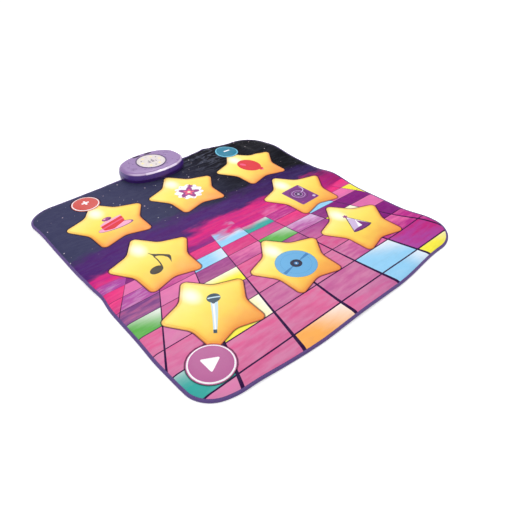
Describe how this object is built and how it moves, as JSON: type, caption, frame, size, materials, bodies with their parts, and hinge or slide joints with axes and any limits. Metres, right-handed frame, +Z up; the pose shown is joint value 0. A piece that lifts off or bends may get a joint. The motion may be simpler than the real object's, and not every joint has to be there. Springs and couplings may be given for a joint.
{
  "type": "electronic dance mat",
  "caption": "Padded electronic dance mat with raised star-shaped pads, round control pads and a small battery-powered sound unit at the rear edge; the front row of pads folds over.",
  "frame": {"origin": "on the underside of the mat, below the middle of the grid of pads", "axes": "+Z up; +Y towards the control unit at the rear edge; +X to the right of a player who faces the control unit"},
  "size_m": [0.846, 0.9573, 0.0388],
  "materials": {
    "backing": "dark non-slip sheet",
    "foam": "white foam sheet",
    "sensor_film": "translucent film with printed tracks",
    "printed_cover": "glossy coated cloth with a bright print",
    "binding": "purple woven edge tape",
    "star_print": "glossy coated cloth, yellow shading to orange",
    "start_print": "glossy coated cloth, mauve",
    "volume_up_print": "glossy coated cloth, red",
    "volume_down_print": "glossy coated cloth, blue",
    "casing": "dark purple moulded plastic",
    "casing_top": "lilac moulded plastic with a purple skirt",
    "trim": "polished purple plastic",
    "disc": "printed cream disc",
    "black_plastic": "black moulded plastic",
    "steel": "plated steel",
    "speaker_cone": "black paper cone",
    "circuit_board": "green board",
    "cell": "sleeved steel can",
    "rubber_foot": "black rubber"
  },
  "bodies": {
    "mat": {"backing_sheet": "backing", "base_foam": "foam", "lower_sensor_film": "sensor_film", "spacer_foam": "foam", "upper_sensor_film": "sensor_film", "printed_cover": "printed_cover", "edge_binding": "binding", "upper_casing": "casing_top", "lower_casing": "casing", "front_trim": "trim", "top_disc": "disc", "power_switch_body": "black_plastic", "volume_switch_body": "black_plastic", "speaker_basket": "steel", "speaker_cone": "speaker_cone", "circuit_board": "circuit_board", "sensor_ribbon": "sensor_film", "battery_1": "cell", "battery_2": "cell", "battery_3": "cell", "battery_contact_left": "steel", "battery_contact_right": "steel", "casing_screw_left": "steel", "casing_screw_right": "steel", "mat_screw_left": "steel", "mat_screw_right": "steel", "foot_left": "rubber_foot", "foot_right": "rubber_foot"},
    "front_panel": {"backing_sheet_front": "backing", "base_foam_front": "foam", "lower_sensor_film_front": "sensor_film", "spacer_foam_front": "foam", "upper_sensor_film_front": "sensor_film", "printed_cover_front": "printed_cover", "edge_binding_front": "binding"},
    "power_knob": {"power_switch_knob": "black_plastic"},
    "volume_knob": {"volume_switch_knob": "black_plastic"},
    "battery_door": {"battery_door": "casing", "battery_door_screw": "steel"},
    "star_pad_rear_left": {"star_pad_rear_left": "star_print"},
    "star_pad_rear_centre": {"star_pad_rear_centre": "star_print"},
    "star_pad_rear_right": {"star_pad_rear_right": "star_print"},
    "star_pad_middle_left": {"star_pad_middle_left": "star_print"},
    "star_pad_middle_right": {"star_pad_middle_right": "star_print"},
    "star_pad_front_left": {"star_pad_front_left": "star_print"},
    "star_pad_front_centre": {"star_pad_front_centre": "star_print"},
    "star_pad_front_right": {"star_pad_front_right": "star_print"},
    "start_pad": {"start_pad": "start_print"},
    "volume_up_pad": {"volume_up_pad": "volume_up_print"},
    "volume_down_pad": {"volume_down_pad": "volume_down_print"}
  },
  "joints": [
    {"name": "front_fold", "type": "hinge", "parent": "mat", "child": "front_panel", "pos_m": [0, -0.10392, 0.0125], "axis": [-1, 0, 0], "range_deg": [0, 170]},
    {"name": "press_star_rear_left", "type": "slide", "parent": "mat", "child": "star_pad_rear_left", "axis": [0, 0, -1], "range_m": [0, 0.0015], "stiffness_N_per_m": 4000, "springref_m": -0.0005},
    {"name": "press_star_rear_centre", "type": "slide", "parent": "mat", "child": "star_pad_rear_centre", "axis": [0, 0, -1], "range_m": [0, 0.0015], "stiffness_N_per_m": 4000, "springref_m": -0.0005},
    {"name": "press_star_rear_right", "type": "slide", "parent": "mat", "child": "star_pad_rear_right", "axis": [0, 0, -1], "range_m": [0, 0.0015], "stiffness_N_per_m": 4000, "springref_m": -0.0005},
    {"name": "press_star_middle_left", "type": "slide", "parent": "mat", "child": "star_pad_middle_left", "axis": [0, 0, -1], "range_m": [0, 0.0015], "stiffness_N_per_m": 4000, "springref_m": -0.0005},
    {"name": "press_star_middle_right", "type": "slide", "parent": "mat", "child": "star_pad_middle_right", "axis": [0, 0, -1], "range_m": [0, 0.0015], "stiffness_N_per_m": 4000, "springref_m": -0.0005},
    {"name": "press_star_front_left", "type": "slide", "parent": "front_panel", "child": "star_pad_front_left", "axis": [0, 0, -1], "range_m": [0, 0.0015], "stiffness_N_per_m": 4000, "springref_m": -0.0005},
    {"name": "press_star_front_centre", "type": "slide", "parent": "front_panel", "child": "star_pad_front_centre", "axis": [0, 0, -1], "range_m": [0, 0.0015], "stiffness_N_per_m": 4000, "springref_m": -0.0005},
    {"name": "press_star_front_right", "type": "slide", "parent": "front_panel", "child": "star_pad_front_right", "axis": [0, 0, -1], "range_m": [0, 0.0015], "stiffness_N_per_m": 4000, "springref_m": -0.0005},
    {"name": "press_start", "type": "slide", "parent": "front_panel", "child": "start_pad", "axis": [0, 0, -1], "range_m": [0, 0.0015], "stiffness_N_per_m": 2000, "springref_m": -0.0005},
    {"name": "press_volume_up", "type": "slide", "parent": "mat", "child": "volume_up_pad", "axis": [0, 0, -1], "range_m": [0, 0.0015], "stiffness_N_per_m": 2000, "springref_m": -0.0005},
    {"name": "press_volume_down", "type": "slide", "parent": "mat", "child": "volume_down_pad", "axis": [0, 0, -1], "range_m": [0, 0.0015], "stiffness_N_per_m": 2000, "springref_m": -0.0005},
    {"name": "power_slide", "type": "slide", "parent": "mat", "child": "power_knob", "axis": [1, 0, 0], "range_m": [0, 0.008]},
    {"name": "volume_slide", "type": "slide", "parent": "mat", "child": "volume_knob", "axis": [1, 0, 0], "range_m": [0, 0.008]},
    {"name": "battery_door_swing", "type": "hinge", "parent": "mat", "child": "battery_door", "pos_m": [0, 0.4836, 0.0023], "axis": [1, 0, 0], "range_deg": [0, 90]}
  ]
}
